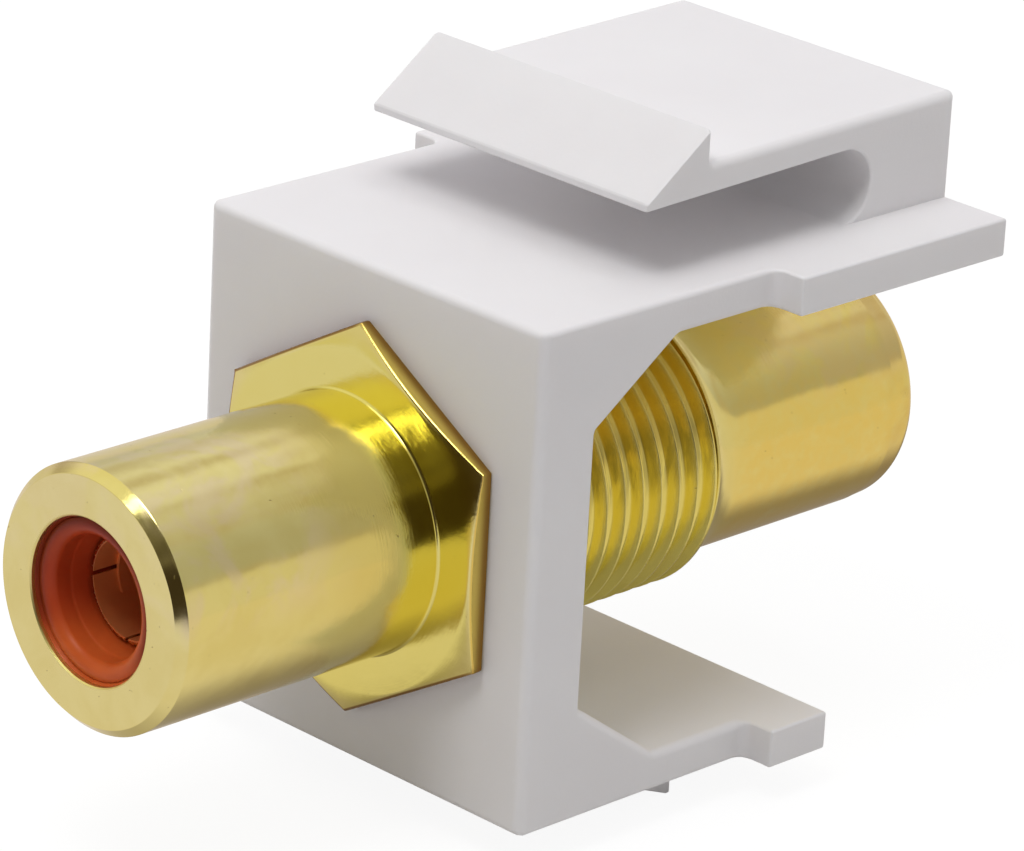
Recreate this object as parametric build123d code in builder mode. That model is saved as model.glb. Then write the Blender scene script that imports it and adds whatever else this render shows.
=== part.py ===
import os
from math import cos, radians, tan

from build123d import *

# Keystone coupler: a moulded snap-in housing that carries a turned double-ended jack.
# Millimetres, X to the right, Y from the front to the back, Z up.
# The origin lies on the jack's axis, in the plane of the housing's front face.

# Housing: a C-shaped frame, open at both sides and at the back
body_width = 14.7
body_height = 16.1
front_wall = 2.3
plate = 1.25
top_reach = 18.9
bottom_reach = 12.2
gusset_run = 3.4
gusset_rise = 2.4
corner_round = 0.35
edge_round = 0.22

# Ears that stop against the back of the panel, and the lip that they grip with the catches
ear_front = 9.7
ear_reach = 1.15
panel_lip = 1.7

# Latch: an arm that springs from a block at the back of the top plate
latch_width = 11.9
latch_rise = 3.45
slot_radius = 1.22
slot_end = 15.3
top_droop = 1.0
under_droop = 1.5
nose_front = 5.4
nose_blunt = 0.25
ridge_height = 1.1
latch_round = 0.2

# Line about which the arm flexes, and the knuckle that parts the arm from its root there
flex_ahead = 1.3
knuckle_gap = 0.06

# Fixed tooth under the bottom plate
tooth_width = 11.9
tooth_depth = 1.25
tooth_run = 3.3
tooth_tip = 0.15

# Jack shell, turned from one bar, with the same barrel at both ends
barrel_diameter = 8.25
mouth_diameter = 5.15
front_reach = 10.85
rear_reach = 20.5
front_bevel = 0.28
rear_round = 0.6
flange_root_bevel = 0.1
flange_across_flats = 11.0
flange_thickness = 0.75
flange_face_diameter = 10.7
flange_chamfer_angle = 19.0
thread_diameter = 9.4
thread_depth = 0.42
thread_pitch = 0.79
thread_end = 10.75
thread_chamfer = 0.28
shoulder_run = 1.02
thread_clearance = 0.04

# Insulators: one pressed in from each end, with a two-step funnel round the contact
insulator_recess = 0.15
insulator_clearance = 0.03
funnel_lip = 0.35
funnel_lip_wall = 0.08
funnel_run = 0.5
funnel_ledge = 0.17

# Centre contact: a socket at both ends, with slots that make its sprung fingers
contact_recess = 1.55
contact_bore = 3.1
contact_wall = 0.2
contact_clearance = 0.05
contact_web = 1.8
collar_diameter = 4.8
finger_count = 4
finger_slot = 0.35
finger_length = 5.0

# How close a face or edge lies to the plane or size that it is picked by
touch = 0.001

# Places that follow from the sizes above
half_height = body_height / 2
inner_height = half_height - plate
catch_plane = ear_front - panel_lip
slot_ceiling = half_height + 2 * slot_radius
slot_centre = slot_end - slot_radius
latch_top = half_height + latch_rise
flex_line = slot_centre - flex_ahead
barrel_radius = barrel_diameter / 2
mouth_radius = mouth_diameter / 2
thread_radius = thread_diameter / 2
thread_root = thread_radius - thread_depth
shoulder_end = thread_end + thread_chamfer + shoulder_run
contact_radius = contact_bore / 2 + contact_wall
middle = (rear_reach - front_reach) / 2


def arm_top(y):
    """Height of the arm's upper face, which falls a little towards the nose."""
    return latch_top - (top_reach - y) * tan(radians(top_droop))


def arm_under(y):
    """Height of the arm's lower face ahead of the slot's round end."""
    return slot_ceiling - (slot_centre - y) * tan(radians(under_droop))


# Knuckle: its circle touches both faces of the arm at the flex line
knuckle_height = (arm_top(flex_line) + arm_under(flex_line)) / 2
knuckle_radius = (arm_top(flex_line) - arm_under(flex_line)) / 2 * cos(radians(top_droop))

# Latch from the side: block, arm, catch ridge and nose, with the slot below the arm
with BuildSketch(Plane.YZ) as latch_profile:
    with BuildLine():
        outline = Polyline(
            (slot_centre, half_height),
            (top_reach, half_height),
            (top_reach, latch_top),
            (catch_plane, arm_top(catch_plane)),
            (catch_plane, arm_top(catch_plane) + ridge_height),
            (nose_front, arm_under(nose_front) + nose_blunt),
            (nose_front, arm_under(nose_front)),
            (slot_centre, slot_ceiling),
        )
        ThreePointArc(outline @ 1, (slot_end, half_height + slot_radius), outline @ 0)
    make_face()

# The arm's share of that profile, closed by the convex half of the knuckle
with BuildSketch(Plane.YZ) as arm_profile:
    add(latch_profile.sketch_local)
    with Locations((flex_line, half_height)):
        Rectangle(2 * top_reach, 4 * latch_rise, align=(Align.MAX, Align.CENTER), mode=Mode.INTERSECT)
    with Locations((flex_line, knuckle_height)):
        Circle(knuckle_radius)

# The root's share, which stays with the housing and holds the concave half
with BuildSketch(Plane.YZ) as root_profile:
    add(latch_profile.sketch_local)
    with Locations((flex_line, half_height)):
        Rectangle(2 * top_reach, 4 * latch_rise, align=(Align.MIN, Align.CENTER), mode=Mode.INTERSECT)
    with Locations((flex_line, knuckle_height)):
        Circle(knuckle_radius + knuckle_gap, mode=Mode.SUBTRACT)

# Housing
with BuildPart() as housing:
    # front wall and both plates, with gussets in the inner corners
    with BuildSketch(Plane.YZ):
        with BuildLine():
            Polyline(
                (0, -half_height),
                (0, half_height),
                (top_reach, half_height),
                (top_reach, inner_height),
                (front_wall + gusset_run, inner_height),
                (front_wall, inner_height - gusset_rise),
                (front_wall, gusset_rise - inner_height),
                (front_wall + gusset_run, -inner_height),
                (bottom_reach, -inner_height),
                (bottom_reach, -half_height),
                close=True,
            )
        make_face()
    extrude(amount=body_width / 2, both=True)

    # ears: from here back, each plate is wider than the body
    for reach, level in ((top_reach, inner_height), (bottom_reach, -half_height)):
        with BuildSketch(Plane.XY.offset(level)):
            with Locations((0, ear_front)):
                Rectangle(body_width + 2 * ear_reach, reach - ear_front, align=(Align.CENTER, Align.MIN))
        extrude(amount=plate)

    # upright corners first, then the outlines of the top, bottom and front faces
    upright = housing.edges().filter_by(Axis.Z)
    inner_corners = upright.filter_by(lambda e: abs(e.center().Y - front_wall) < touch)
    fillet(upright - inner_corners, radius=corner_round)
    level_faces = housing.faces().filter_by(Axis.Z).sort_by(Axis.Z)
    front_face = housing.faces().filter_by(Axis.Y).sort_by(Axis.Y)[0]
    outlines = level_faces[0].edges() + level_faces[-1].edges() + front_face.edges()
    fillet(set(outlines), radius=edge_round)

    # fixed tooth under the bottom plate, with its catch face in the latch ridge's plane
    with BuildSketch(Plane.YZ):
        with BuildLine():
            Polyline(
                (catch_plane - tooth_run, -half_height),
                (catch_plane, -half_height),
                (catch_plane, -half_height - tooth_depth),
                (catch_plane - tooth_tip, -half_height - tooth_depth),
                close=True,
            )
        make_face()
    extrude(amount=tooth_width / 2, both=True)

    # block and root of the latch, with rounded top and back edges
    extrude(root_profile.sketch, amount=latch_width / 2, both=True)
    block_sides = housing.faces().filter_by(Axis.X).group_by(Axis.Z)[-1].edges().filter_by(GeomType.LINE)
    crown = block_sides.filter_by(lambda e: e.center().Z > slot_ceiling + latch_round)
    fillet(crown + block_sides.filter_by(Axis.Z), radius=latch_round)

    # hole that the jack's thread fills; it also clips the toes of the gussets
    with BuildSketch(Plane.XZ):
        Circle(thread_radius + thread_clearance)
    extrude(amount=-(front_wall + gusset_run), mode=Mode.SUBTRACT)

housing.part.label = "keystone_housing"

# Latch arm
with BuildPart() as latch_arm:
    extrude(arm_profile.sketch, amount=latch_width / 2, both=True)
    sides = latch_arm.faces().filter_by(Axis.X).edges()
    crown = sides.filter_by(lambda e: e.center().Z > arm_under(nose_front) + nose_blunt)
    crown = crown.filter_by(lambda e: e.center().Y < flex_line and e.geom_type == GeomType.LINE)
    fillet(crown, radius=latch_round)

latch_arm.part.label = "latch_arm"

# Jack shell
with BuildPart() as jack_shell:
    # hexagon with a corner up, its front edges turned off to a cone
    with BuildSketch(Plane.XZ):
        RegularPolygon(flange_across_flats / 2, 6, major_radius=False, rotation=90)
    extrude(amount=flange_thickness)
    cone_reach = flange_across_flats
    cone_back = (cone_reach - flange_face_diameter / 2) * tan(radians(flange_chamfer_angle))
    with BuildSketch(Plane.YZ):
        with BuildLine():
            Polyline(
                (0, 0),
                (-flange_thickness, 0),
                (-flange_thickness, flange_face_diameter / 2),
                (cone_back - flange_thickness, cone_reach),
                (cone_back, cone_reach),
                (cone_back, 0),
                close=True,
            )
        make_face()
    revolve(axis=Axis.Y, mode=Mode.INTERSECT)

    # front barrel, thread, shallow shoulder and rear barrel on one axis;
    # the thread is a row of level ridges
    ridge_count = int(thread_end / thread_pitch) + 1
    crests = [thread_end - turn * thread_pitch for turn in reversed(range(ridge_count))]
    ridges = [
        point
        for crest in crests
        for point in ((crest - thread_pitch / 2, thread_root), (crest, thread_radius))
    ]
    with BuildSketch(Plane.YZ):
        with BuildLine():
            Polyline(
                (-front_reach, 0),
                (-front_reach, barrel_radius),
                (0, barrel_radius),
                (0, thread_root),
                *ridges,
                (thread_end + thread_chamfer, thread_radius - thread_chamfer),
                (shoulder_end, barrel_radius),
                (rear_reach, barrel_radius),
                (rear_reach, 0),
                close=True,
            )
        make_face()
    revolve(axis=Axis.Y)

    # through bore
    with BuildSketch(Plane.XZ.offset(front_reach)):
        Circle(mouth_radius)
    extrude(amount=-(front_reach + rear_reach), mode=Mode.SUBTRACT)

    # turned edges: mouth bevel, root of the flange and rear end
    rims = jack_shell.edges().filter_by(GeomType.CIRCLE)
    outer_rims = rims.filter_by(lambda e: abs(e.radius - barrel_radius) < touch)
    flange_root = outer_rims.filter_by(lambda e: abs(e.center().Y + flange_thickness) < touch)
    chamfer(outer_rims.sort_by(Axis.Y)[0], length=front_bevel)
    chamfer(flange_root, length=flange_root_bevel)
    rims = jack_shell.edges().filter_by(GeomType.CIRCLE)
    outer_rims = rims.filter_by(lambda e: abs(e.radius - barrel_radius) < touch)
    fillet(outer_rims.sort_by(Axis.Y)[-1], radius=rear_round)

jack_shell.part.label = "jack_shell"

# Front insulator; the rear one is its mirror image about the middle of the jack
insulator_radius = mouth_radius - insulator_clearance
contact_hole = contact_radius + contact_clearance
insulator_front = insulator_recess - front_reach
insulator_back = middle - contact_web / 2
with BuildPart() as front_insulator:
    with BuildSketch(Plane.YZ):
        with BuildLine():
            Polyline(
                (insulator_back, contact_hole),
                (insulator_back, insulator_radius),
                (insulator_front, insulator_radius),
                (insulator_front + funnel_lip, insulator_radius - funnel_lip_wall),
                (insulator_front + funnel_lip + funnel_run, contact_hole + funnel_ledge),
                (contact_recess - front_reach, contact_hole),
                close=True,
            )
        make_face()
    revolve(axis=Axis.Y)

front_insulator.part.label = "front_insulator"

with BuildPart() as rear_insulator:
    add(mirror(front_insulator.part, about=Plane.XZ.offset(-middle), mode=Mode.PRIVATE))

rear_insulator.part.label = "rear_insulator"

# Centre contact: the web in its middle parts the two sockets, and its collar keeps it in place
with BuildPart() as centre_contact:
    contact_length = front_reach + rear_reach - 2 * contact_recess
    mid_plane = Plane.XZ.offset(-middle)
    with BuildSketch(mid_plane):
        Circle(contact_radius)
    extrude(amount=contact_length / 2, both=True)
    with BuildSketch(mid_plane):
        Circle(collar_diameter / 2)
    extrude(amount=contact_web / 2, both=True)
    for side in (1, -1):
        with BuildSketch(mid_plane.offset(side * contact_web / 2)):
            Circle(contact_bore / 2)
        extrude(amount=side * contact_length, mode=Mode.SUBTRACT)
        with BuildSketch(mid_plane.offset(side * (contact_length / 2 - finger_length))):
            with PolarLocations(0, finger_count // 2, angular_range=180):
                Rectangle(2 * collar_diameter, finger_slot)
        extrude(amount=side * 2 * finger_length, mode=Mode.SUBTRACT)

centre_contact.part.label = "centre_contact"

os.makedirs("parts", exist_ok=True)
for piece in (housing, latch_arm, jack_shell, front_insulator, rear_insulator, centre_contact):
    export_step(piece.part, f"parts/{piece.part.label}.step")
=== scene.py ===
from contextlib import contextmanager
from math import cos, pi, radians, sin, sqrt, tan

import bmesh
import bpy
from mathutils import Matrix, Vector


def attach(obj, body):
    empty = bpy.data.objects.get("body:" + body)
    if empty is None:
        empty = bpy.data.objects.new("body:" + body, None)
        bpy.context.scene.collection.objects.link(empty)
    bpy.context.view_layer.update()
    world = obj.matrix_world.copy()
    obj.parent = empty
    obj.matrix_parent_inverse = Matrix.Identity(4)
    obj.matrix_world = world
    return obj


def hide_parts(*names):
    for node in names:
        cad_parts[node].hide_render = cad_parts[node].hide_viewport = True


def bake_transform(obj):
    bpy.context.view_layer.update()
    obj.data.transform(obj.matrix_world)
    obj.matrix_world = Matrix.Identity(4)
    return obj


# Keystone coupler on a pale floor: a white snap-in housing that carries a gold-plated jack.
# Pieces are modelled in millimetres, with the origin on the jack's axis in the plane of the
# housing's front face, X to the right, Y from the front mouth to the back, Z up.
# Each finished piece is then taken down to metres.
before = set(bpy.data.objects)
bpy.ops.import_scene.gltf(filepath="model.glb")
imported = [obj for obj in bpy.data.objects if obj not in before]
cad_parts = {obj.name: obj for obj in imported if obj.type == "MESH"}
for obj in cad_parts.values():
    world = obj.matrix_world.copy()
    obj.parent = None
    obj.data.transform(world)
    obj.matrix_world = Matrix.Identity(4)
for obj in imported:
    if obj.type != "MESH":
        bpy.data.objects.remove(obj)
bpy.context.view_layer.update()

MM = 0.001
ALONG = Vector((0, 1, 0))
ACROSS = Vector((1, 0, 0))
UP = Vector((0, 0, 1))
SHARP_ANGLE = radians(25)


# Shader maths

class Signal:
    """One output of a shader node. Sums, products and the like on it add their own nodes."""

    def __init__(self, finish, socket):
        self.finish = finish
        self.socket = socket

    def maths(self, operation, *values):
        settings = {"operation": operation}
        return self.finish.node("ShaderNodeMath", settings, dict(enumerate(values)))

    def __add__(self, other):
        return self.maths("ADD", self, other)

    def __sub__(self, other):
        return self.maths("SUBTRACT", self, other)

    def __rsub__(self, other):
        return self.maths("SUBTRACT", other, self)

    def __mul__(self, other):
        return self.maths("MULTIPLY", self, other)

    def __truediv__(self, other):
        return self.maths("DIVIDE", self, other)

    def __pow__(self, other):
        return self.maths("POWER", self, other)

    __radd__ = __add__
    __rmul__ = __mul__

    def fade(self, low, high):
        """0 below low and 1 above high, with a smooth step between them. Low may be the larger."""
        return self.finish.node(
            "ShaderNodeMapRange",
            {"interpolation_type": "SMOOTHSTEP"},
            {"Value": self, "From Min": low, "From Max": high},
        )


class Finish:
    """A material, or the world, as a node tree that is built up from signals."""

    def __init__(self, owner):
        owner.use_nodes = True
        self.owner = owner
        self.tree = owner.node_tree
        self.tree.nodes.clear()

    def node(self, kind, settings=None, values=None, output=0):
        """Adds a node: its settings first, then the values or signals of its sockets."""
        made = self.tree.nodes.new(kind)
        for name, setting in (settings or {}).items():
            setattr(made, name, setting)
        for name, value in (values or {}).items():
            if isinstance(value, Signal):
                self.tree.links.new(value.socket, made.inputs[name])
            elif isinstance(value, tuple) and made.inputs[name].type == "RGBA":
                made.inputs[name].default_value = (*value, 1.0)
            else:
                made.inputs[name].default_value = value
        return Signal(self, made.outputs[output]) if len(made.outputs) else None

    def mix(self, factor, first, second):
        """A colour between the first and the second."""
        settings = {"data_type": "RGBA"}
        return self.node("ShaderNodeMix", settings, {0: factor, 6: first, 7: second}, output=2)

    def vectors(self, operation, first, second, output=0):
        values = {0: first, 1: second}
        return self.node("ShaderNodeVectorMath", {"operation": operation}, values, output)

    def place(self):
        """Where a point of the piece lies, in millimetres."""
        coordinates = self.node("ShaderNodeTexCoord", output="Object")
        settings = {"operation": "SCALE"}
        return self.node("ShaderNodeVectorMath", settings, {0: coordinates, "Scale": 1 / MM})

    def parts_of(self, vector):
        """The X, Y and Z shares of a vector."""
        split = self.node("ShaderNodeSeparateXYZ", values={0: vector}).socket.node
        return [Signal(self, share) for share in split.outputs]

    def noise(self, vector, per_mm, detail=2.0, roughness=0.5, distortion=0.0):
        values = {
            "Vector": vector,
            "Scale": per_mm,
            "Detail": detail,
            "Roughness": roughness,
            "Distortion": distortion,
        }
        return self.node("ShaderNodeTexNoise", values=values)

    def bump(self, height, depth_mm, below=None):
        """Turns a height from 0 to 1 into relief of that depth, on top of another relief."""
        values = {"Height": height, "Distance": depth_mm * MM, "Strength": 1.0}
        if below:
            values["Normal"] = below
        return self.node("ShaderNodeBump", values=values)

    def surface(self, **sockets):
        """Ends the material in one Principled shader."""
        shader = self.node(
            "ShaderNodeBsdfPrincipled",
            values={name.replace("_", " "): value for name, value in sockets.items()},
        )
        self.node("ShaderNodeOutputMaterial", values={"Surface": shader})
        return self.owner


def new_finish(name):
    return Finish(bpy.data.materials.new(name))


def white_moulding():
    """White moulded plastic with a satin, finely sparked face and faint flow clouds."""
    f = new_finish("white_moulding")
    place = f.place()
    clouds = f.noise(place, 0.22, detail=3)
    grain = f.noise(place, 9.0, detail=3, roughness=0.6)
    tint = f.mix(clouds, (0.800, 0.775, 0.785), (0.850, 0.835, 0.842))
    return f.surface(
        Base_Color=tint,
        Roughness=0.40 + 0.10 * grain + 0.04 * clouds,
        IOR=1.49,
        Subsurface_Weight=0.20,
        Subsurface_Radius=(1.0, 0.92, 0.86),
        Subsurface_Scale=0.8 * MM,
        Normal=f.bump(grain, 0.004),
    )


def gold_plate():
    """Bright gold over turned brass: rings left by the tool, cloudy plating and a few pits.
    Each part of the shell is told by its place along the axis and its distance from it."""
    f = new_finish("gold_plate")
    place = f.place()
    x, along, z = f.parts_of(place)
    radius = (x * x + z * z) ** 0.5
    rings = f.node(
        "ShaderNodeTexNoise",
        {"noise_dimensions": "1D"},
        {"W": along + radius, "Scale": 14.0, "Detail": 4.0, "Roughness": 0.7},
    )
    clouds = f.noise(place, 0.55, detail=4, roughness=0.55, distortion=0.4)
    smears = f.noise(place, 2.2, detail=3, roughness=0.6)
    pits = f.noise(place, 5.5, detail=2).fade(0.74, 0.80)
    waves = f.noise(place, 0.5)
    grain = f.noise(place, 5.0, detail=4, roughness=0.7)
    haze = f.noise(place, 0.42, detail=4, roughness=0.6, distortion=1.0).fade(0.42, 0.60)

    # pale plating, hazy on the front barrel, where a painted pale sheen on the upper side stands
    # in for the light it mirrors
    tint = f.mix(clouds.fade(0.35, 0.65), (0.84, 0.735, 0.245), (0.88, 0.785, 0.285))
    front = along.fade(-3.2, -6.0) * (0.3 + 0.7 * radius.fade(3.90, 4.08))
    tint = f.mix(0.6 * haze * front * z.fade(-0.6, 1.0), tint, (0.88, 0.745, 0.42))

    # thread: deeper gold, laid on most in the grooves, browner on its upper side and with a dark
    # band above the middle: the brown and the band are painted shade, for the shaded housing it
    # mirrors
    thread = radius.fade(4.82, 4.76) * along.fade(0.2, 0.6) * along.fade(10.95, 10.65)
    drawn = f.noise(f.vectors("MULTIPLY", place, (1.0, 7.0, 0.6)), 0.9, detail=3, roughness=0.6)
    thread_tint_and_shade = f.mix(z.fade(0.2, 2.6), (0.87, 0.77, 0.20), (0.82, 0.61, 0.105))
    painted_shade_band = z.fade(-0.2, 0.9) * z.fade(2.6, 1.7) * drawn.fade(0.40, 0.56)
    thread_tint_and_shade = f.mix(0.75 * painted_shade_band, thread_tint_and_shade, (0.40, 0.34, 0.085))
    tint = f.mix(thread * (0.66 + 0.2 * radius.fade(4.72, 4.40)), tint, thread_tint_and_shade)

    # rear barrel: warmer, paler towards the top and brownest at its end
    warm = along.fade(11.2, 13.0) * (0.4 + 0.4 * smears.fade(0.25, 0.65))
    warm_tint = f.mix(z.fade(1.2, 3.0), (0.90, 0.69, 0.165), (0.98, 0.77, 0.18))
    tint = f.mix(warm, tint, warm_tint)
    rear_end = along.fade(18.8, 19.8) * clouds.fade(0.40, 0.60)
    tint = f.mix(0.35 * rear_end, tint, (0.68, 0.47, 0.13))
    paler_top = haze * along.fade(12.5, 14.5) * z.fade(0.8, 2.0)
    tint = f.mix(0.45 * paler_top, tint, (0.90, 0.70, 0.30))

    # front barrel's root, and the neck between it and the flange: deeper gold, a painted
    # reflection of the gold flange
    barrel_root = along.fade(-6.4, -3.6) * along.fade(-1.9, -2.5)
    tint = f.mix(0.55 * barrel_root, tint, (0.78, 0.63, 0.16))
    across = x.maths("ABSOLUTE", x)
    flats = across.maths("MAXIMUM", across, 0.5 * across + 0.866 * z.maths("ABSOLUTE", z))
    neck = along.fade(-2.5, -1.9) * along.fade(-0.5, -0.7) * flats.fade(5.40, 5.30)
    tint = f.mix(0.75 * neck, tint, (0.86, 0.775, 0.19))

    # flange: painted reflection and shade: a deeper edge for the gold it mirrors, brown at the
    # back for the shaded crease against the wall, and a brown line round the left and lower rim
    # where it mirrors shade
    edge = flats.fade(5.43, 5.49)
    tint = f.mix(0.7 * edge, tint, (0.80, 0.58, 0.10))
    tint = f.mix(0.85 * edge * along.fade(-0.55, -0.15), tint, (0.26, 0.11, 0.02))
    away = x.fade(0.3, -0.3).maths("MAXIMUM", x.fade(0.3, -0.3), z.fade(-2.9, -3.4))
    painted_rim_shade = flats.fade(5.39, 5.44) * away * radius.fade(5.0, 5.3)
    tint = f.mix(0.85 * painted_rim_shade, tint, (0.24, 0.10, 0.02))
    tint = f.mix(pits * 0.6, tint, (0.30, 0.20, 0.06))

    # dullest at the mouth's edge, duller on the thread and in the haze
    mouth_edge = radius.fade(2.67, 2.63)
    roughness = 0.06 + 0.05 * clouds.fade(0.3, 0.7) + 0.05 * smears + 0.03 * rings
    roughness = roughness + 0.10 * along.fade(0.2, 0.6) * along.fade(11.2, 11.0)
    roughness = roughness + 0.25 * mouth_edge + 0.07 * haze * front

    # relief: tool rings, slow waves, a grain between the barrels and the pits
    rough_cast = along.fade(-3.6, -2.0) * along.fade(11.4, 11.0)
    relief = f.bump(rings, 0.0016)
    relief = f.bump(waves, 0.030, below=relief)
    relief = f.bump(grain * rough_cast, 0.004, below=relief)
    relief = f.bump(1 - pits, 0.006, below=relief)
    return f.surface(Base_Color=tint, Metallic=1.0, Roughness=roughness, Normal=relief)


def orange_insulator():
    """Orange-red plastic that lets a little light through, with painted shade that is darkest on
    the lip's upper half.
    """
    f = new_finish("orange_insulator")
    place = f.place()
    clouds = f.noise(place, 0.8, detail=3)
    grain = f.noise(place, 7.0, detail=2)
    x, _, z = f.parts_of(place)
    radius = (x * x + z * z) ** 0.5
    # painted shade: darker on the upper left and on the upper half of the lip, where the mouth
    # shades the bush
    painted_shade_upper_left = (z - x).fade(-0.8, 1.4)
    lip = radius.fade(2.02, 2.40) * z.fade(-1.9, -0.7)
    tint = f.mix(clouds, (0.52, 0.082, 0.016), (0.75, 0.150, 0.030))
    tint = f.mix(0.6 * painted_shade_upper_left, tint, (0.32, 0.012, 0.008))
    tint = f.mix(0.82 * lip, tint, (0.20, 0.022, 0.004))
    return f.surface(
        Base_Color=tint,
        Roughness=0.30 + 0.10 * grain,
        Specular_IOR_Level=0.15,
        Subsurface_Weight=0.12,
        Subsurface_Radius=(1.0, 0.25, 0.1),
        Subsurface_Scale=0.5 * MM,
        Normal=f.bump(grain, 0.002),
    )


def contact_plate():
    """Gold-plated spring brass of the centre contact, dull inside its bore, where red is painted
    in for the orange light it takes from the insulator.
    """
    f = new_finish("contact_plate")
    place = f.place()
    clouds = f.noise(place, 1.2, detail=3)
    drawn = f.noise(f.vectors("MULTIPLY", place, (12.0, 0.6, 12.0)), 1.0, detail=3)
    x, _, z = f.parts_of(place)
    inside = ((x * x + z * z) ** 0.5).fade(1.60, 1.555)
    tint = f.mix(clouds, (0.80, 0.56, 0.24), (0.88, 0.68, 0.34))
    # painted red inside the bore, for the orange light the insulator gives it
    tint = f.mix(inside, tint, (0.86, 0.34, 0.11))
    return f.surface(
        Base_Color=tint,
        Metallic=1.0 - 0.5 * inside,
        Roughness=0.20 + 0.12 * drawn + 0.08 * inside,
        Normal=f.bump(drawn, 0.0015),
    )


# Modelling, as done by hand with the mesh tools

def only(piece):
    """Leaves this piece alone selected and active."""
    bpy.ops.object.select_all(action="DESELECT")
    piece.select_set(True)
    bpy.context.view_layer.objects.active = piece


@contextmanager
def editing(piece):
    """Edit mode on this piece, with nothing selected at first."""
    only(piece)
    bpy.ops.object.mode_set(mode="EDIT")
    bpy.ops.mesh.select_mode(type="VERT")
    bpy.ops.mesh.select_all(action="DESELECT")
    yield
    bpy.ops.object.mode_set(mode="OBJECT")


def pick(kind, test):
    """In edit mode, selects the vertices whose place passes the test, or the faces whose middle
    and normal do."""
    mesh = bpy.context.edit_object.data
    shape = bmesh.from_edit_mesh(mesh)
    bpy.ops.mesh.select_mode(type={"verts": "VERT", "faces": "FACE"}[kind])
    bpy.ops.mesh.select_all(action="DESELECT")
    for item in getattr(shape, kind):
        if kind == "verts":
            chosen = test(item.co)
        else:
            chosen = test(item.calc_center_median(), item.normal)
        item.select_set(bool(chosen))
    shape.select_flush_mode()
    bmesh.update_edit_mesh(mesh)


def extrude(step):
    """Draws the selected faces out by the step."""
    bpy.ops.mesh.extrude_region_move(TRANSFORM_OT_translate={"value": step})


def cut(place, facing):
    """Cuts a loop of edges across the whole piece in the plane that faces that way."""
    bpy.ops.mesh.select_all(action="SELECT")
    bpy.ops.mesh.bisect(plane_co=place, plane_no=facing)


def near(value, target, tolerance=0.01):
    """Whether two lengths are as good as the same."""
    return abs(value - target) < tolerance


def block(name, low, high):
    """A rectangular blank between two corners."""
    bpy.ops.object.select_all(action="DESELECT")
    middle = (Vector(low) + Vector(high)) / 2
    bpy.ops.mesh.primitive_cube_add(size=1, location=middle)
    piece = bpy.context.object
    piece.name = name
    piece.scale = Vector(high) - Vector(low)
    bpy.ops.object.transform_apply(location=True, rotation=True, scale=True)
    return piece


def rod(name, radius, start, end, axis=ALONG, sides=96, centre=(0, 0, 0)):
    """A round or many-sided bar along an axis, from start to end on that axis."""
    bpy.ops.object.select_all(action="DESELECT")
    bpy.ops.mesh.primitive_cylinder_add(vertices=sides, radius=radius, depth=end - start)
    piece = bpy.context.object
    piece.name = name
    turn = UP.rotation_difference(axis).to_matrix().to_4x4()
    middle = Vector(centre) + axis * (start + end) / 2
    piece.matrix_world = Matrix.Translation(middle) @ turn
    bpy.ops.object.transform_apply(location=True, rotation=True, scale=True)
    return piece


def turned(name, rings, sides=128):
    """A solid turned about the jack's axis: a disc is extruded from ring to ring and scaled.
    Each ring is its place along the axis and its radius."""
    bpy.ops.object.select_all(action="DESELECT")
    along, radius = rings[0]
    bpy.ops.mesh.primitive_circle_add(
        vertices=sides,
        radius=radius,
        fill_type="NGON",
        location=ALONG * along,
        rotation=(pi / 2, 0, 0),
    )
    piece = bpy.context.object
    piece.name = name
    bpy.ops.object.transform_apply(location=True, rotation=True, scale=True)
    with editing(piece):
        bpy.ops.mesh.select_all(action="SELECT")
        for next_along, next_radius in rings[1:]:
            extrude(ALONG * (next_along - along))
            share = next_radius / radius
            bpy.ops.transform.resize(
                value=(share, 1, share), center_override=ALONG * next_along
            )
            along, radius = next_along, next_radius
        bpy.ops.mesh.select_all(action="SELECT")
        bpy.ops.mesh.normals_make_consistent(inside=False)
    return piece


def arc(centre, radius, first, last, steps):
    """Points of an arc between two angles, as ring places. The angle 0 points along the axis."""
    angles = [radians(first + (last - first) * i / steps) for i in range(steps + 1)]
    return [(centre[0] + radius * cos(a), centre[1] + radius * sin(a)) for a in angles]


def modify(piece, kind, **settings):
    """Adds a modifier and applies it."""
    only(piece)
    modifier = piece.modifiers.new(kind.title(), kind)
    for name, value in settings.items():
        setattr(modifier, name, value)
    bpy.ops.object.modifier_apply(modifier=modifier.name)


def combine(piece, other, operation):
    """Cuts, joins or trims a piece with another, which is used up."""
    modify(piece, "BOOLEAN", object=other, operation=operation, solver="EXACT")
    bpy.data.objects.remove(other)


def soften(piece, width, segments, angle):
    """Rounds every edge that turns by more than the angle."""
    modify(
        piece,
        "BEVEL",
        width=width,
        segments=segments,
        limit_method="ANGLE",
        angle_limit=radians(angle),
        miter_outer="MITER_ARC",
        harden_normals=False,
    )


def round_edges(piece, share, width, segments=4, clamp=True):
    """Rounds the sharp edges, each by its own share of the width, told from where its ends lie."""
    mesh = piece.data
    weights = mesh.attributes.new("bevel_weight_edge", "FLOAT", "EDGE")
    for edge in sharp_edges(mesh):
        ends = (mesh.vertices[i].co for i in mesh.edges[edge].vertices)
        weights.data[edge].value = share(*ends)
    modify(
        piece,
        "BEVEL",
        width=width,
        segments=segments,
        limit_method="WEIGHT",
        miter_outer="MITER_ARC",
        use_clamp_overlap=clamp,
    )


def sharp_edges(mesh):
    """Numbers of the edges where two faces meet at more than the sharp angle."""
    shape = bmesh.new()
    shape.from_mesh(mesh)
    found = [
        edge.index
        for edge in shape.edges
        if len(edge.link_faces) == 2 and edge.calc_face_angle(0) > SHARP_ANGLE
    ]
    shape.free()
    return found


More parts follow.
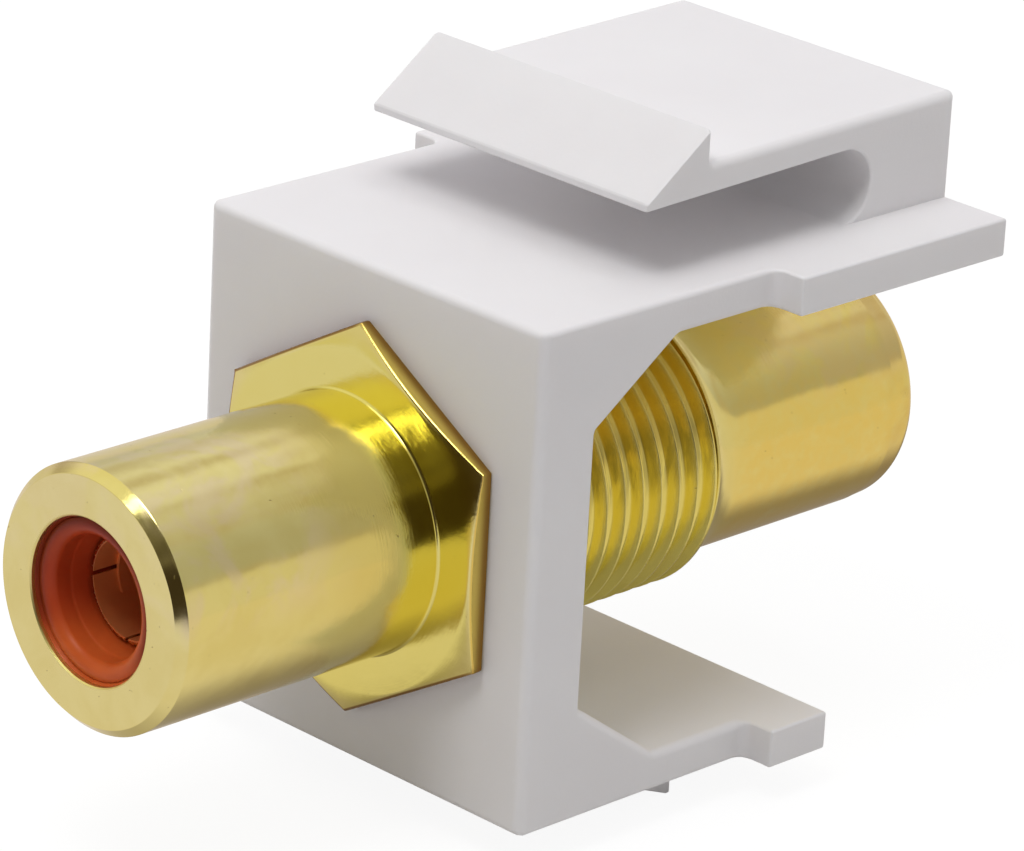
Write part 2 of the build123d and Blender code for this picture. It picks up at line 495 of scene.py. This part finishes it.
def clean(piece, closest=0.0005):
    """Welds vertices that lie closer than that and turns every face outwards."""
    with editing(piece):
        bpy.ops.mesh.select_all(action="SELECT")
        bpy.ops.mesh.remove_doubles(threshold=closest)
        bpy.ops.mesh.dissolve_degenerate(threshold=closest / 5)
        bpy.ops.mesh.select_all(action="SELECT")
        bpy.ops.mesh.normals_make_consistent(inside=False)


def done(piece, material, body=None, smooth_below=35.0):
    """Welds a finished piece, takes it down to metres, smooths it and gives it its finish."""
    clean(piece, closest=0.0001)
    only(piece)
    bpy.ops.object.shade_smooth_by_angle(angle=radians(smooth_below))
    modify(piece, "WEIGHTED_NORMAL", keep_sharp=True, weight=80)
    piece.scale = (MM, MM, MM)
    bpy.ops.object.transform_apply(location=True, rotation=True, scale=True)
    piece.data.materials.clear()
    piece.data.materials.append(material)
    if body:
        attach(piece, body)
    return piece


# Housing

HALF_WIDTH = 7.35
HALF_HEIGHT = 8.05
FRONT_WALL = 2.3
PLATE = 1.25
TOP_REACH = 18.9
BOTTOM_REACH = 12.2
GUSSET_RUN = 3.4
GUSSET_RISE = 2.4
EAR_FRONT = 9.7
EAR_REACH = 1.15
CATCH = 8.0
TOOTH_FRONT = 4.7
TOOTH_DEPTH = 1.25
TOOTH_TIP = 0.15
LATCH_HALF = 5.95
THREAD_HOLE = 4.74
HOUSING_ROUND = 0.45
TOOTH_ROUND = 0.05


def make_housing():
    """Front wall with a plate above and below, gussets, ears, a tooth and the thread's hole."""
    inner = HALF_HEIGHT - PLATE
    toe = inner - GUSSET_RISE
    gusset_end = FRONT_WALL + GUSSET_RUN
    low_corner = (-HALF_WIDTH, 0, -HALF_HEIGHT)
    high_corner = (HALF_WIDTH, FRONT_WALL, HALF_HEIGHT)
    housing = block("housing", low_corner, high_corner)
    with editing(housing):
        # strips on the wall's back: two plates, and a gusset inside each
        for level in (-inner, -toe, toe, inner):
            cut(UP * level, UP)
        for side in (1, -1):
            pick("faces", lambda c, n: n.y > 0.9 and c.z * side > toe)
            extrude(ALONG * GUSSET_RUN)
            pick("verts", lambda c: near(c.y, gusset_end) and near(c.z * side, toe))
            bpy.ops.transform.translate(value=ALONG * -GUSSET_RUN)
        bpy.ops.mesh.select_all(action="SELECT")
        bpy.ops.mesh.remove_doubles(threshold=0.001)
        # plates, in two lengths each, and ears on the rear lengths
        for side, reach in ((1, TOP_REACH), (-1, BOTTOM_REACH)):
            start = gusset_end
            for end in (EAR_FRONT, reach):
                pick("faces", lambda c, n: near(c.y, start) and n.y > 0.9 and c.z * side > inner)
                extrude(ALONG * (end - start))
                start = end
        for side in (1, -1):
            pick("faces", lambda c, n: n.x * side > 0.9 and c.y > EAR_FRONT)
            extrude(ACROSS * EAR_REACH * side)
    clean(housing)
    round_edges(housing, housing_share, HOUSING_ROUND)
    combine(housing, make_tooth(), "UNION")
    hole = rod("thread_hole", THREAD_HOLE, -FRONT_WALL, 2 * FRONT_WALL)
    combine(housing, hole, "DIFFERENCE")
    return housing


def housing_share(a, b):
    """Roundest where the ears spring from the sides, then the front corners, least at the ears."""
    upright = near(a.y, b.y) and near(a.x, b.x)
    side = near(abs(a.x), HALF_WIDTH) and near(a.x, b.x)
    if near(a.y, 0) and near(b.y, 0):
        return 0.8 if upright else 0.58
    if abs(a.x) > HALF_WIDTH + 0.5 or abs(b.x) > HALF_WIDTH + 0.5:
        return 0.2
    if upright and near(a.y, EAR_FRONT):
        return 0.8
    if near(abs(a.z), HALF_HEIGHT) and near(abs(b.z), HALF_HEIGHT):
        return 0.4
    return 0.6 if side and not upright else 0.3


def make_tooth():
    """Wedge under the bottom plate, upright at the back, whose root is sunk in the plate."""
    tip = -HALF_HEIGHT - TOOTH_DEPTH
    root = -HALF_HEIGHT + PLATE / 2
    tooth = block("tooth", (-LATCH_HALF, TOOTH_FRONT, tip), (LATCH_HALF, CATCH, root))
    with editing(tooth):
        cut(UP * -HALF_HEIGHT, UP)
        pick("verts", lambda c: near(c.z, tip) and near(c.y, TOOTH_FRONT))
        bpy.ops.transform.translate(value=ALONG * (CATCH - TOOTH_FRONT - TOOTH_TIP))
    soften(tooth, TOOTH_ROUND, segments=2, angle=40)
    return tooth


# Latch

SLOT_RADIUS = 1.22
SLOT_END = 15.3
SLOT_CENTRE = SLOT_END - SLOT_RADIUS
SLOT_CEILING = HALF_HEIGHT + 2 * SLOT_RADIUS
LATCH_TOP = HALF_HEIGHT + 3.45
TOP_DROOP = 1.0
UNDER_DROOP = 1.5
NOSE = 5.4
NOSE_BLUNT = 0.25
RIDGE = 1.1
LATCH_ROUND = 0.30
LATCH_SUNK = 0.25
LATCH_BACK = TOP_REACH - 0.02
FLEX_FROM = SLOT_CENTRE
FLEX_TO = 11.5
FLEX_LOOPS = 12


def arm_top(y):
    """Height of the arm's upper face, which droops towards the nose."""
    return LATCH_TOP - (TOP_REACH - y) * tan(radians(TOP_DROOP))


def arm_under(y):
    """Height of the arm's lower face."""
    return SLOT_CEILING - (SLOT_CENTRE - y) * tan(radians(UNDER_DROOP))


def make_latch():
    """Sprung arm with its ridge and nose, and the block on the top plate that it springs from."""
    latch = block(
        "latch",
        (-LATCH_HALF, SLOT_CENTRE, HALF_HEIGHT - LATCH_SUNK),
        (LATCH_HALF, LATCH_BACK, LATCH_TOP),
    )
    with editing(latch):
        # the arm is drawn forward from the upper part of the block, then the catch
        cut(UP * SLOT_CEILING, UP)
        start = SLOT_CENTRE
        for end in (CATCH, NOSE):
            pick("faces", lambda c, n: n.y < -0.9 and near(c.y, start) and c.z > SLOT_CEILING)
            extrude(ALONG * (end - start))
            start = end
        pick("faces", lambda c, n: n.z > 0.9 and c.y < CATCH)
        extrude(UP * RIDGE)
        # droop of the arm, the ridge's top edge and the blunt nose
        for y in (NOSE, CATCH, SLOT_CENTRE):
            pick("verts", lambda c: near(c.y, y) and near(c.z, LATCH_TOP))
            bpy.ops.transform.translate(value=UP * (arm_top(y) - LATCH_TOP))
            pick("verts", lambda c: near(c.y, y) and near(c.z, SLOT_CEILING))
            bpy.ops.transform.translate(value=UP * (arm_under(y) - SLOT_CEILING))
        pick("verts", lambda c: near(c.y, CATCH) and near(c.z, LATCH_TOP + RIDGE))
        bpy.ops.transform.translate(value=UP * (arm_top(CATCH) - LATCH_TOP))
        nose_top = arm_under(NOSE) + NOSE_BLUNT
        for level in (LATCH_TOP + RIDGE, arm_top(NOSE)):
            pick("verts", lambda c: near(c.y, NOSE) and near(c.z, level))
            bpy.ops.transform.translate(value=UP * (nose_top - level))
    clean(latch)
    # the slot's round end
    slot_middle = (0, SLOT_CENTRE, HALF_HEIGHT + SLOT_RADIUS)
    mill = rod("mill", SLOT_RADIUS, -HALF_WIDTH, HALF_WIDTH, ACROSS, centre=slot_middle)
    combine(latch, mill, "DIFFERENCE")
    round_edges(latch, latch_share, LATCH_ROUND, clamp=False)
    # cuts across the arm where it flexes
    with editing(latch):
        for i in range(FLEX_LOOPS + 1):
            cut(ALONG * (FLEX_TO + (FLEX_FROM - FLEX_TO) * i / FLEX_LOOPS), ALONG)
    return latch


def latch_share(a, b):
    """The arm's upper outline at both sides is roundest, the nose and the block least."""
    if near(a.y, NOSE) and near(b.y, NOSE):
        return 0.2
    if a.y > TOP_REACH - 0.1 and b.y > TOP_REACH - 0.1:
        return 0.3
    at_side = near(abs(a.x), LATCH_HALF) and near(a.x, b.x)
    if near(a.y, CATCH) and near(b.y, CATCH):
        return 0.6 if near(a.z, arm_top(CATCH)) and near(b.z, a.z) else 0.35
    if at_side and min(a.y, b.y) > CATCH - 0.01 and min(a.z, b.z) > arm_top(CATCH) - 0.05:
        return 1.0
    if at_side and max(a.y, b.y) < CATCH + 0.01 and not near(a.z, b.z, 0.2):
        return 0.9
    return 0.3


# Jack

FRONT_END = -10.85
REAR_END = 20.5
BARREL = 4.125
MOUTH = 2.575
FLANGE_FLATS = 5.5
FLANGE_FACE = 5.35
FLANGE_FRONT = -0.75
FLANGE_SLOPE = 19.0
THREAD_CREST = 4.7
THREAD_ROOT = 4.28
THREAD_PITCH = 0.79
THREAD_START = 0.4
THREAD_END = 10.7
THREAD_CHAMFER = 0.28
THREAD_LEAD = 1.4
SPARE_TURNS = 5
SHOULDER_END = 12.05
FLANGE_ROUND = 0.11
FLANGE_SHARE = 0.55
FRONT_BEVEL = 0.28
BEVEL_ROUND = 0.03
ROOT_ROUND = 0.1
REAR_ROUND = 0.5
MOUTH_LIP = 0.04


def make_flange():
    """Hexagon with a corner up, whose front face is turned off to a shallow cone."""
    corner = FLANGE_FLATS * 2 / sqrt(3)
    wide = corner + 1
    flange = rod("flange", corner, FLANGE_FRONT, 0, sides=6)
    rise = (wide - FLANGE_FACE) * tan(radians(FLANGE_SLOPE))
    cone = [(FLANGE_FRONT, FLANGE_FACE), (FLANGE_FRONT + rise, wide), (1, wide)]
    envelope = turned("envelope", cone, sides=192)
    combine(flange, envelope, "INTERSECT")
    with editing(flange):
        bpy.ops.mesh.select_all(action="SELECT")
        bpy.ops.mesh.dissolve_limited(angle_limit=radians(0.2))
    round_edges(flange, flange_share, FLANGE_ROUND, segments=3)
    clean(flange, closest=0.002)
    return flange


def flange_share(a, b):
    """Roundest at the back, against the wall."""
    return 1.0 if near(a.y, 0) and near(b.y, 0) else FLANGE_SHARE


def make_thread():
    """A bar with one thread cut round it: the tooth's outline is screwed along the axis."""
    crest, root, pitch = THREAD_CREST, THREAD_ROOT, THREAD_PITCH
    # from a crest down to the root and up to the next one
    outline = [
        (0.0, crest),
        (0.05, crest),
        (0.09, crest - 0.035),
        (0.235, root + 0.11),
        (0.30, root + 0.035),
        (0.395, root),
        (0.49, root),
        (0.57, root + 0.035),
        (0.635, root + 0.11),
        (0.76, crest - 0.03),
    ]
    bpy.ops.object.select_all(action="DESELECT")
    bpy.ops.mesh.primitive_plane_add(size=1)
    thread = bpy.context.object
    thread.name = "thread"
    start = THREAD_START - THREAD_LEAD * pitch
    with editing(thread):
        # one corner of the plane stays and is drawn out into the tooth's outline
        pick("verts", lambda c: c.x < 0 or c.y < 0)
        bpy.ops.mesh.delete(type="VERT")
        pick("verts", lambda c: True)
        bpy.ops.transform.translate(value=Vector((-0.5, start - 0.5, crest)))
        at = outline[0]
        for point in [*outline[1:], (pitch, crest)]:
            step = {"value": (0, point[0] - at[0], point[1] - at[1])}
            bpy.ops.mesh.extrude_vertices_move(TRANSFORM_OT_translate=step)
            at = point
    turns = int((THREAD_END - THREAD_START) / pitch) + SPARE_TURNS
    modify(
        thread,
        "SCREW",
        axis="Y",
        steps=96,
        render_steps=96,
        screw_offset=pitch,
        iterations=turns,
    )
    with editing(thread):
        bpy.ops.mesh.select_all(action="SELECT")
        bpy.ops.mesh.remove_doubles(threshold=0.0005)
        # trimmed to its length, with a flat face at each end
        for place, facing in ((THREAD_START, -1), (THREAD_END, 1)):
            bpy.ops.mesh.select_all(action="SELECT")
            bpy.ops.mesh.bisect(
                plane_co=ALONG * place,
                plane_no=ALONG * facing,
                use_fill=True,
                clear_outer=True,
            )
        bpy.ops.mesh.select_all(action="SELECT")
        bpy.ops.mesh.normals_make_consistent(inside=False)
    return thread


def make_jack():
    """Shell from the front barrel to the rear one, with its thread, flange and through bore."""
    hollow = MOUTH - 0.5
    core = THREAD_ROOT - 0.1
    # front end: flat face, bevel with a small round at both its edges, rings along the barrel
    front = [
        (FRONT_END, hollow),
        (FRONT_END, BARREL - FRONT_BEVEL - BEVEL_ROUND),
        (FRONT_END + BEVEL_ROUND * 0.4, BARREL - FRONT_BEVEL + BEVEL_ROUND * 0.3),
        (FRONT_END + FRONT_BEVEL - BEVEL_ROUND * 0.5, BARREL - BEVEL_ROUND),
        (FRONT_END + FRONT_BEVEL + BEVEL_ROUND, BARREL),
        (-8.0, BARREL),
        (-5.0, BARREL),
    ]
    # the flange's root, then the bar that the thread is wound on
    middle = [
        *arc((FLANGE_FRONT - ROOT_ROUND, BARREL + ROOT_ROUND), ROOT_ROUND, 270, 350, 6),
        (FLANGE_FRONT + 0.01, BARREL + ROOT_ROUND),
        (THREAD_START + 0.2, core),
        (THREAD_END - 0.1, core),
    ]
    # the thread's last crest falls away in a chamfer and a hollow shoulder
    foot = THREAD_END + THREAD_CHAMFER + 0.04
    run = SHOULDER_END + 0.15 - foot
    step = THREAD_CREST - THREAD_CHAMFER - 0.02 - BARREL
    shoulder = [
        (THREAD_END - 0.04, THREAD_CREST - 0.004),
        (THREAD_END + 0.04, THREAD_CREST - 0.010),
        (THREAD_END + 0.10, THREAD_CREST - 0.04),
        (THREAD_END + 0.24, THREAD_CREST - 0.20),
        *((foot + run * t, BARREL + step * (1 - t) ** 2) for t in (0, 0.15, 0.3, 0.5, 0.75, 1)),
    ]
    # rear end: the barrel draws in a little before its round end
    end_radius = BARREL - 0.05
    rear = [
        (15.0, BARREL),
        (19.36, BARREL),
        (19.42, BARREL - 0.012),
        (REAR_END - REAR_ROUND, end_radius),
        *arc((REAR_END - REAR_ROUND, end_radius - REAR_ROUND), REAR_ROUND, 84, 0, 10),
        (REAR_END, hollow),
    ]
    rings = front + middle + shoulder + rear
    jack = turned("jack", rings)
    combine(jack, make_thread(), "UNION")
    combine(jack, make_flange(), "UNION")
    bore = turned(
        "bore",
        [
            (FRONT_END - 1, MOUTH + MOUTH_LIP),
            (FRONT_END, MOUTH + MOUTH_LIP),
            (FRONT_END + MOUTH_LIP, MOUTH),
            (REAR_END - MOUTH_LIP, MOUTH),
            (REAR_END, MOUTH + MOUTH_LIP),
            (REAR_END + 1, MOUTH + MOUTH_LIP),
        ],
    )
    combine(jack, bore, "DIFFERENCE")
    return jack


# Insulators and contact

CONTACT_RADIUS = 1.75
CONTACT_BORE = 1.55
CONTACT_HOLE = 1.8
CONTACT_TIP = -9.3
COLLAR = 2.4
MIDDLE = (FRONT_END + REAR_END) / 2
WEB = 0.9
FINGER_LENGTH = 5.0
FINGER_SLIT = 0.14
LEAF_RECESS = 0.9
LEAF_LENGTH = 4.6
LEAF_RISE = 0.09
LEAF_SUNK = 0.02
LEAF_SIDE = 0.3
LEAF_TOP = 0.75
INSULATOR_RECESS = 0.15
FUNNEL = 1.93
FUNNEL_ROUND = 0.36


def make_insulator():
    """Bush in the front mouth: a rounded lip, then a funnel that narrows to the contact."""
    outer = MOUTH - 0.004
    face = FRONT_END + INSULATOR_RECESS
    back = MIDDLE - WEB
    insulator = turned("insulator_front", [(face, outer), (back, outer)])
    funnel = turned(
        "funnel",
        [
            (face - 1, outer - 0.012),
            (face - 0.02, outer - 0.012),
            (face + 0.04, outer - 0.05),
            (face + 0.16, outer - 0.10),
            (face + 0.30, outer - 0.16),
            *arc((face + 0.42, FUNNEL + FUNNEL_ROUND), FUNNEL_ROUND, 150, 262, 8),
            (face + 0.78, 1.95),
            (face + 0.86, 1.92),
            (face + 0.93, 1.885),
            (face + 1.32, 1.82),
            (face + 1.40, CONTACT_HOLE),
            (back + 1, CONTACT_HOLE),
        ],
    )
    combine(insulator, funnel, "DIFFERENCE")
    return insulator


def make_contact():
    """Tube from mouth to mouth, solid in the middle, with four slit fingers and two leaves at
    each end."""
    tip = CONTACT_TIP
    end = 2 * MIDDLE - tip
    outside = 2 * CONTACT_RADIUS
    contact = turned(
        "contact",
        [
            (tip, CONTACT_BORE + 0.03),
            (tip, CONTACT_BORE + 0.07),
            (tip + 0.05, CONTACT_RADIUS - 0.05),
            (tip + 0.13, CONTACT_RADIUS),
            (MIDDLE - WEB, CONTACT_RADIUS),
            (MIDDLE - WEB, COLLAR),
            (MIDDLE + WEB, COLLAR),
            (MIDDLE + WEB, CONTACT_RADIUS),
            (end - 0.13, CONTACT_RADIUS),
            (end - 0.05, CONTACT_RADIUS - 0.05),
            (end, CONTACT_BORE + 0.07),
            (end, CONTACT_BORE + 0.03),
        ],
        sides=96,
    )
    for start, stop in ((tip - 1, MIDDLE - WEB), (MIDDLE + WEB, end + 1)):
        combine(contact, rod("bore", CONTACT_BORE, start, stop), "DIFFERENCE")
    for low, high in ((tip - 1, tip + FINGER_LENGTH), (end - FINGER_LENGTH, end + 1)):
        for x, z in ((FINGER_SLIT / 2, outside), (outside, FINGER_SLIT / 2)):
            saw = block("saw", (-x, low, -z), (x, high, z))
            combine(contact, saw, "DIFFERENCE")
    for start in (tip + LEAF_RECESS, end - LEAF_RECESS - LEAF_LENGTH):
        combine(contact, make_leaves(start, start + LEAF_LENGTH), "UNION")
    return contact


def make_leaves(start, stop):
    """Two curved spring leaves that lie against the socket's wall, at opposite quarters."""
    leaves = rod("leaves", CONTACT_BORE + LEAF_SUNK, start, stop)
    inside = rod("inside", CONTACT_BORE - LEAF_RISE, start - 1, stop + 1)
    combine(leaves, inside, "DIFFERENCE")
    outside = 2 * CONTACT_RADIUS
    for side in (1, -1):
        left, right = sorted((LEAF_SIDE * side, outside * side))
        bottom, top = sorted((LEAF_TOP * side, outside * side))
        gap = block("gap", (left, start - 1, bottom), (right, stop + 1, top))
        combine(leaves, gap, "DIFFERENCE")
    return leaves


def mirrored(piece, name):
    """A copy on the other side of the jack's middle, with its own mesh."""
    only(piece)
    bpy.ops.object.duplicate()
    copy = bpy.context.object
    copy.name = name
    flip = Matrix.Translation(ALONG * 2 * MIDDLE) @ Matrix.Scale(-1, 4, ALONG)
    copy.data.transform(flip)
    with editing(copy):
        bpy.ops.mesh.select_all(action="SELECT")
        bpy.ops.mesh.normals_make_consistent(inside=False)
    return copy


# Camera, lights and floor

CAMERA_PLACE = Vector((117.383, -112.164, 66.087))
CAMERA_AZIMUTH = 44.757
CAMERA_ELEVATION = 21.181
CAMERA_ROLL = 3.023
LENS = 203.82
FLOOR_LEVEL = -9.31
FLOOR_RADIUS = 400
# directions in the tent round the part
BRIGHTEST = (-0.27, 0.667, 0.695)
LEFT_CARD = (-0.60, -0.49, 0.63)
OPENING = (0.42, -0.91, 0)


def make_camera():
    camera = bpy.data.objects.new("camera", bpy.data.cameras.new("camera"))
    bpy.context.scene.collection.objects.link(camera)
    camera.data.lens = LENS
    camera.data.sensor_width = 36.0
    camera.data.clip_start = 0.01
    camera.data.clip_end = 5.0
    turn = Matrix.Rotation(radians(CAMERA_AZIMUTH), 4, "Z")
    tilt = Matrix.Rotation(radians(90 - CAMERA_ELEVATION), 4, "X")
    roll = Matrix.Rotation(radians(CAMERA_ROLL), 4, "Z")
    camera.matrix_world = Matrix.Translation(CAMERA_PLACE * MM) @ turn @ tilt @ roll
    bpy.context.scene.camera = camera


def make_lamp(name, place, aim, size, level):
    """A soft box whose light on a white card at its aim comes out at that level."""
    place, aim = Vector(place), Vector(aim)
    lamp = bpy.data.lights.new(name, "AREA")
    lamp.shape = "RECTANGLE"
    lamp.size, lamp.size_y = (side * MM for side in size)
    lamp.energy = level * (pi * (place - aim).length * MM) ** 2
    holder = bpy.data.objects.new(name, lamp)
    bpy.context.scene.collection.objects.link(holder)
    turn = (aim - place).to_track_quat("-Z", "Y").to_matrix().to_4x4()
    holder.matrix_world = Matrix.Translation(place * MM) @ turn
    return holder


def make_floor():
    """Pale card that thins out to nothing away from the part. Metal sees it warmer and darker."""
    bpy.ops.object.select_all(action="DESELECT")
    bpy.ops.mesh.primitive_circle_add(
        vertices=96,
        radius=FLOOR_RADIUS * MM,
        fill_type="NGON",
        location=UP * FLOOR_LEVEL * MM,
    )
    floor = bpy.context.object
    floor.name = "floor"
    bpy.ops.object.transform_apply(location=True, rotation=True, scale=True)
    f = new_finish("pale_floor")
    rays = f.node("ShaderNodeLightPath").socket.node.outputs
    seen = Signal(f, rays["Is Camera Ray"])
    glossy = Signal(f, rays["Is Glossy Ray"])
    x, y, _ = f.parts_of(f.place())
    out = (x * x + y * y) ** 0.5
    # the card, which also glows to the camera
    card = f.node("ShaderNodeBsdfDiffuse", values={"Color": (0.70, 0.70, 0.70)})
    glow = f.node("ShaderNodeEmission", values={"Color": (1, 1, 1), "Strength": 1.1})
    # what metal sees of it: bluer in front, and an oval shade below the rear barrel
    under = (x * x + ((y - 15) / 4.4) ** 2) ** 0.5
    mirror_tint = f.mix(y.fade(-40, 10), (0.76, 0.72, 0.92), (0.75, 0.665, 0.60))
    mirror_tint = f.mix(under.fade(3.6, 8.6), (0.29, 0.25, 0.22), mirror_tint)
    mirror_glow = f.node("ShaderNodeEmission", values={"Color": mirror_tint})
    lit = f.node("ShaderNodeMixShader", values={0: 0.83 * seen, 1: card, 2: glow})
    lit = f.node("ShaderNodeMixShader", values={0: glossy, 1: lit, 2: mirror_glow})
    clear = f.node("ShaderNodeBsdfTransparent")
    gone = out.fade(90, 230) * seen + out.fade(60, 80) * glossy
    mixed = f.node("ShaderNodeMixShader", values={0: gone, 1: lit, 2: clear})
    f.node("ShaderNodeOutputMaterial", values={"Surface": mixed})
    floor.data.materials.append(f.owner)


def make_world():
    """Even light from all round, white to the camera. Metal sees a bright tent, open and dark
    where the photographer stands."""
    world = bpy.data.worlds.new("studio")
    bpy.context.scene.world = world
    f = Finish(world)
    rays = f.node("ShaderNodeLightPath").socket.node.outputs
    seen = Signal(f, rays["Is Camera Ray"])
    glossy = Signal(f, rays["Is Glossy Ray"])
    direction = f.node("ShaderNodeTexCoord", output="Generated")
    x, y, z = f.parts_of(direction)
    # the tent, brightest high up behind the part, with warmer patches and a warm foot
    bright = 2 * f.vectors("DOT_PRODUCT", direction, BRIGHTEST, output="Value") - 1
    bright = bright.maths("MAXIMUM", bright, 0) ** 2
    tent = f.mix(bright, (0.46, 0.44, 0.47), (0.85, 0.83, 0.98))
    patches = f.noise(direction, 2.6, detail=3, roughness=0.55, distortion=0.6)
    tent = f.mix(0.80 * patches.fade(0.45, 0.57), tent, (0.50, 0.42, 0.37))
    tent = f.mix(z.fade(0.17, 0.21), (0.71, 0.65, 0.60), tent)
    left = f.vectors("DOT_PRODUCT", direction, LEFT_CARD, output="Value")
    tent = f.mix(left.fade(0.80, 0.93), tent, (0.86, 0.81, 0.72))
    # the opening in front, spotted where the photographer stands and darkest below
    ahead = f.vectors("DOT_PRODUCT", direction, OPENING, output="Value")
    ahead = (ahead / (x * x + y * y) ** 0.5).fade(0.62, 0.76)
    spots = f.noise(direction, 9.0, detail=3).fade(0.40, 0.62)
    figure = f.mix(spots, (0.070, 0.055, 0.040), (0.19, 0.165, 0.13))
    tent = f.mix(ahead * z.fade(0.79, 0.75), tent, figure)
    tent = f.mix(ahead * z.fade(0.46, 0.40), tent, (0.045, 0.032, 0.022))
    # all but metal is lit by plain grey, a little stronger from behind
    level = 0.41 + 0.05 * x + 0.19 * y
    light = f.mix(glossy, f.mix(level, (0, 0, 0), (1, 1, 1)), tent)
    light = f.mix(seen, light, (1.0, 1.0, 1.0))
    back = f.node("ShaderNodeBackground", values={"Color": light, "Strength": 1.0})
    f.node("ShaderNodeOutputWorld", values={"Surface": back})


bpy.context.scene.view_settings.view_transform = "Standard"
make_camera()
make_world()
make_floor()
make_lamp("key", (20, -100, 225), (0, 4, 0), (85, 85), 0.28)
make_lamp("overhead", (10, 0, 260), (0, 4, 0), (200, 200), 0.31)
left_lamp = make_lamp("left_lamp", (-232, 12, 75), (0, 8, 9), (120, 60), 0.26)
left_lamp.visible_glossy = False
make_lamp("front_lamp", (-30, -150, 195), (0, 0, 0), (34, 20), 0.018)

white = white_moulding()
gold = gold_plate()
orange = orange_insulator()
brass = contact_plate()

housing = done(make_housing(), white, "coupler")
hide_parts("keystone_housing")

latch = done(make_latch(), white)
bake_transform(latch)
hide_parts("latch_arm")

jack = done(make_jack(), gold, "coupler", smooth_below=25)
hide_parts("jack_shell")

insulator = make_insulator()
rear_insulator = mirrored(insulator, "insulator_rear")
for ring, node in ((insulator, "front_insulator"), (rear_insulator, "rear_insulator")):
    done(ring, orange, "coupler")
    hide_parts(node)

contact = done(make_contact(), brass, "coupler")
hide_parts("centre_contact")
